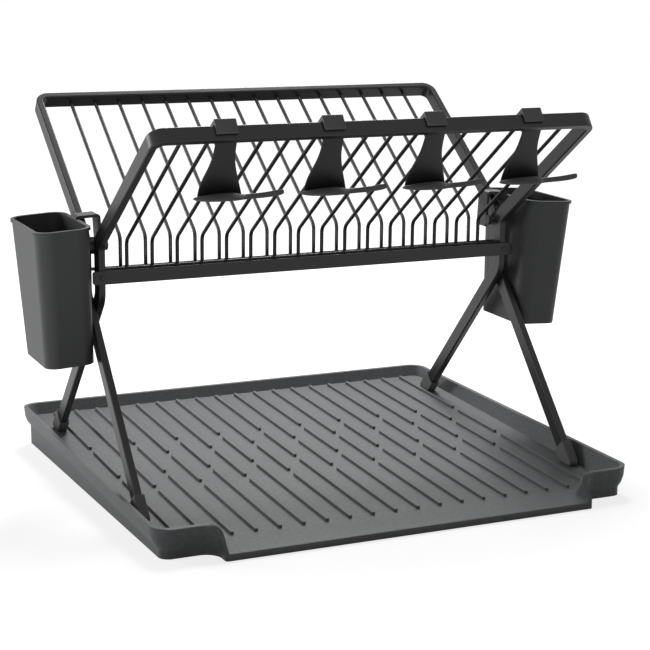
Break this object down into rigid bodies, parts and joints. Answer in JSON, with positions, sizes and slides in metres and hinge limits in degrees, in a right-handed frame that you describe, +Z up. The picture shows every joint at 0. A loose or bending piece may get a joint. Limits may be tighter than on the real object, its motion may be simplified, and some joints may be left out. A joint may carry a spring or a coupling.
{
  "type": "dish drying rack",
  "caption": "Foldable X-frame dish drying rack of bent tube and wire in a sloped drip tray, with hook-on utensil cups and clip-on stemware holders.",
  "frame": {"origin": "on the worktop under the middle of the drip tray, spout included", "axes": "+X along the pivot axis to the right, +Y to the back, +Z up"},
  "size_m": [0.498, 0.404, 0.3257],
  "materials": {
    "frame_coating": "satin anthracite powder coat",
    "wire_coating": "satin anthracite powder coat",
    "pin_metal": "satin anthracite powder coat",
    "knob_plastic": "matte",
    "shoe_rubber": "matte grey",
    "cup_plastic": "fine matte",
    "holder_plastic": "fine matte",
    "tray_plastic": "fine matte"
  },
  "bodies": {
    "tray": {"drip_tray": "tray_plastic"},
    "rear_hoop": {"rear_frame": "frame_coating", "rear_wire_01": "wire_coating", "rear_wire_02": "wire_coating", "rear_wire_03": "wire_coating", "rear_wire_04": "wire_coating", "rear_wire_05": "wire_coating", "rear_wire_06": "wire_coating", "rear_wire_07": "wire_coating", "rear_wire_08": "wire_coating", "rear_wire_09": "wire_coating", "rear_wire_10": "wire_coating", "rear_wire_11": "wire_coating", "rear_wire_12": "wire_coating", "rear_wire_13": "wire_coating", "rear_wire_14": "wire_coating", "rear_wire_15": "wire_coating", "rear_wire_16": "wire_coating", "rear_cross_rod": "wire_coating", "rear_pivot_lug_left": "frame_coating", "rear_pivot_lug_right": "frame_coating", "front_shoe_left": "shoe_rubber", "front_shoe_right": "shoe_rubber"},
    "pivots": {"pivot_pin_left": "pin_metal", "pivot_pin_right": "pin_metal", "pivot_knob_left": "knob_plastic", "pivot_knob_right": "knob_plastic"},
    "front_hoop": {"front_frame": "frame_coating", "front_wire_01": "wire_coating", "front_wire_02": "wire_coating", "front_wire_03": "wire_coating", "front_wire_04": "wire_coating", "front_wire_05": "wire_coating", "front_wire_06": "wire_coating", "front_wire_07": "wire_coating", "front_wire_08": "wire_coating", "front_wire_09": "wire_coating", "front_wire_10": "wire_coating", "front_wire_11": "wire_coating", "front_wire_12": "wire_coating", "front_wire_13": "wire_coating", "front_wire_14": "wire_coating", "front_wire_15": "wire_coating", "front_wire_16": "wire_coating", "front_cross_rod": "wire_coating", "cross_bar": "frame_coating", "bar_rivets": "pin_metal", "front_pivot_lug_left": "frame_coating", "front_pivot_lug_right": "frame_coating", "rear_shoe_left": "shoe_rubber", "rear_shoe_right": "shoe_rubber"},
    "cup_left": {"utensil_cup_left": "cup_plastic"},
    "cup_right": {"utensil_cup_right": "cup_plastic"},
    "holder_1": {"stemware_holder_1": "holder_plastic"},
    "holder_2": {"stemware_holder_2": "holder_plastic"},
    "holder_3": {"stemware_holder_3": "holder_plastic"},
    "holder_4": {"stemware_holder_4": "holder_plastic"}
  },
  "joints": [
    {"name": "fold", "type": "hinge", "parent": "tray", "child": "rear_hoop", "pos_m": [0, -0.11533, 0.01312], "axis": [1, 0, 0], "range_deg": [0, 30]},
    {"name": "pivot_level", "type": "hinge", "parent": "rear_hoop", "child": "pivots", "pos_m": [0, 0.0131, 0.20958], "axis": [-1, 0, 0], "range_deg": [0, 30]},
    {"name": "front_fold", "type": "hinge", "parent": "pivots", "child": "front_hoop", "pos_m": [0, 0.0131, 0.20958], "axis": [-1, 0, 0], "range_deg": [0, 30]},
    {"name": "cup_left_lift", "type": "slide", "parent": "pivots", "child": "cup_left", "axis": [0, -0.031, 0.9995], "range_m": [0, 0.04]},
    {"name": "cup_right_lift", "type": "slide", "parent": "pivots", "child": "cup_right", "axis": [0, -0.031, 0.9995], "range_m": [0, 0.04]},
    {"name": "holder_1_lift", "type": "slide", "parent": "front_hoop", "child": "holder_1", "axis": [0, 0.5581, 0.8298], "range_m": [0, 0.008]},
    {"name": "holder_2_lift", "type": "slide", "parent": "front_hoop", "child": "holder_2", "axis": [0, 0.5581, 0.8298], "range_m": [0, 0.008]},
    {"name": "holder_3_lift", "type": "slide", "parent": "front_hoop", "child": "holder_3", "axis": [0, 0.5581, 0.8298], "range_m": [0, 0.008]},
    {"name": "holder_4_lift", "type": "slide", "parent": "front_hoop", "child": "holder_4", "axis": [0, 0.5581, 0.8298], "range_m": [0, 0.008]}
  ],
  "couplings": [
    {"joint": "pivot_level", "follows": "fold", "ratio": 1},
    {"joint": "front_fold", "follows": "fold", "ratio": 1},
    {"joint": "cup_left_lift", "follows": "fold", "m_per_rad": 0.073},
    {"joint": "cup_right_lift", "follows": "fold", "m_per_rad": 0.073}
  ]
}
